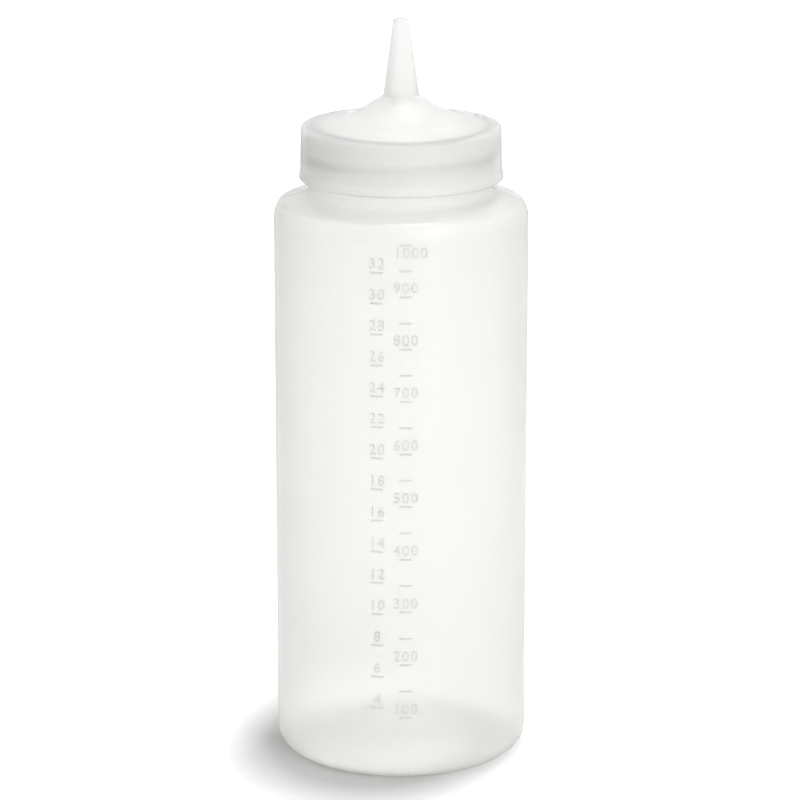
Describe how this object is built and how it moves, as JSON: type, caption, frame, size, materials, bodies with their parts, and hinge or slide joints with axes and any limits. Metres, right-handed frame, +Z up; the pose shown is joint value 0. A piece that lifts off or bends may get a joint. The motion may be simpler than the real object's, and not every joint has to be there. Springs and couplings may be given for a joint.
{
  "type": "squeeze bottle",
  "caption": "Translucent cylindrical squeeze bottle with a raised volume scale, a wide neck, and a screw cap with a tapered cone tip.",
  "frame": {"origin": "centre of the foot, on the surface that the bottle stands on", "axes": "+Z up the bottle's axis to the nozzle; -Y is the side with the volume scale"},
  "size_m": [0.0858, 0.0858, 0.2538],
  "materials": {
    "bottle_plastic": "frosted translucent polyethylene, satin inside and out",
    "cap_plastic": "milky translucent polyethylene, satin"
  },
  "bodies": {
    "root": {"bottle": "bottle_plastic", "cap": "cap_plastic"}
  },
  "joints": []
}
